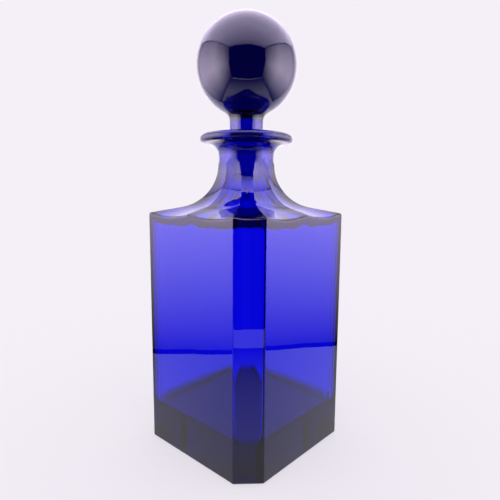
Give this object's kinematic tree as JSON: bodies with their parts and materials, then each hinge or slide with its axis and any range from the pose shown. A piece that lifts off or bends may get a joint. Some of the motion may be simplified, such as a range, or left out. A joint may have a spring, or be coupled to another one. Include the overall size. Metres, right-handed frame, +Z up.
{
  "type": "square glass decanter with ball stopper",
  "caption": "Square blue glass decanter with cut corners, a fluted shoulder, a flat lip and a solid ball stopper that lifts out of the neck.",
  "frame": {"origin": "middle of the base, on the surface that the bottle stands on", "axes": "+Z up along the neck, X and Y square to the four panels"},
  "size_m": [0.09, 0.09, 0.2479],
  "materials": {
    "bottle_glass": "clear cobalt blue, polished",
    "stopper_glass": "clear cobalt blue, polished, ground on the plug"
  },
  "bodies": {
    "bottle": {"bottle": "bottle_glass"},
    "stopper": {"stopper": "stopper_glass"}
  },
  "joints": [
    {"name": "stopper_lift", "type": "slide", "parent": "bottle", "child": "stopper", "axis": [0, 0, 1], "range_m": [0, 0.04]}
  ]
}
